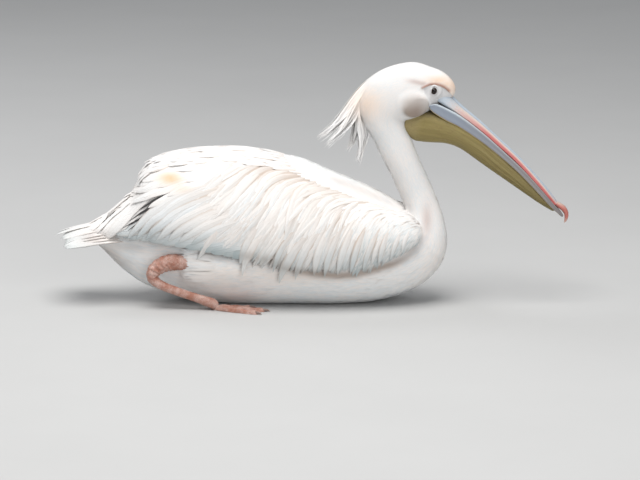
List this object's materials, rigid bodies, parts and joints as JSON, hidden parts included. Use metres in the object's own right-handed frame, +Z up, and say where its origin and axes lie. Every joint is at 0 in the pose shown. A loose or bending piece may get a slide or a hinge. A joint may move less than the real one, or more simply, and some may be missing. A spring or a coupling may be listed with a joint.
{
  "type": "pelican",
  "caption": "Still life-size great white pelican resting on its belly, neck raised, long pouched bill sloping down, wings folded and feet tucked under.",
  "frame": {"origin": "on the floor, at the middle of the flat the belly rests on", "axes": "+X forward to the bill, +Y to the bird's left, +Z up from the floor"},
  "size_m": [1.1006, 0.3186, 0.519],
  "materials": {
    "plumage": "soft white feathers with a faint pink and cream wash",
    "flight_feathers": "matt brownish black quill feathers",
    "bill_horn": "satin blue-grey horn with a red cutting edge and yellow stripe",
    "bill_nail": "satin red horn",
    "pouch_skin": "soft yellow skin with fine folds",
    "leg_skin": "wrinkled scaly pink skin",
    "eye": "wet dark brown"
  },
  "bodies": {
    "root": {"trunk": "plumage", "neck": "plumage", "head": "plumage", "crest": "plumage", "bill_upper": "bill_horn", "bill_nail": "bill_nail", "pouch": "pouch_skin", "tail": "plumage", "eye_right": "eye", "jaw_right": "bill_horn", "wing_right_coverts": "plumage", "wing_right_tertials": "plumage", "wing_right_remiges": "flight_feathers", "thigh_right": "plumage", "leg_right": "leg_skin", "foot_right": "leg_skin", "eye_left": "eye", "jaw_left": "bill_horn", "wing_left_coverts": "plumage", "wing_left_tertials": "plumage", "wing_left_remiges": "flight_feathers", "thigh_left": "plumage", "leg_left": "leg_skin", "foot_left": "leg_skin"}
  },
  "joints": []
}
